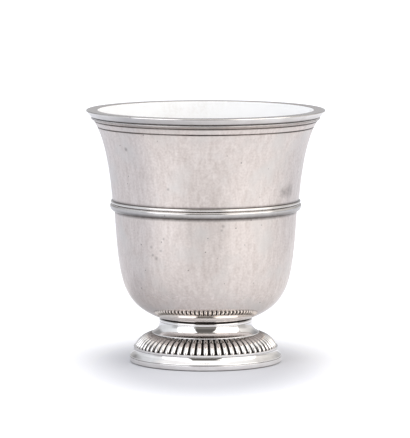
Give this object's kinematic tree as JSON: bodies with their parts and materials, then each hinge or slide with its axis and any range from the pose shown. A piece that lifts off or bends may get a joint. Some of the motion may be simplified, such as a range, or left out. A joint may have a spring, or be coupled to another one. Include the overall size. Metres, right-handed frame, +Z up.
{
  "type": "footed beaker",
  "caption": "Footed silver beaker with a flared wired lip, a reeded band round its waist and a hollow spool foot ringed with gadroons.",
  "frame": {"origin": "middle of the circle that the foot stands on", "axes": "+Z up along the axis of the beaker, from the standing face to the lip; -Y is the front, which a gadroon faces"},
  "size_m": [0.09, 0.09, 0.0953],
  "materials": {
    "bowl_silver": "planished and softly polished silver with fine upright streaks, small pits and handling wear",
    "wire_silver": "drawn silver wire, polished, with tarnish left in the lines",
    "foot_silver": "brightly polished silver",
    "gadroon_silver": "chased silver, bright on the lobes and dark with tarnish in the grooves"
  },
  "bodies": {
    "root": {"bowl": "bowl_silver", "lip_wire": "wire_silver", "waist_band": "wire_silver", "foot_collar": "foot_silver", "foot_spool": "foot_silver", "gadrooned_ring": "gadroon_silver", "foot_moulding": "foot_silver", "standing_rim": "foot_silver"}
  },
  "joints": []
}
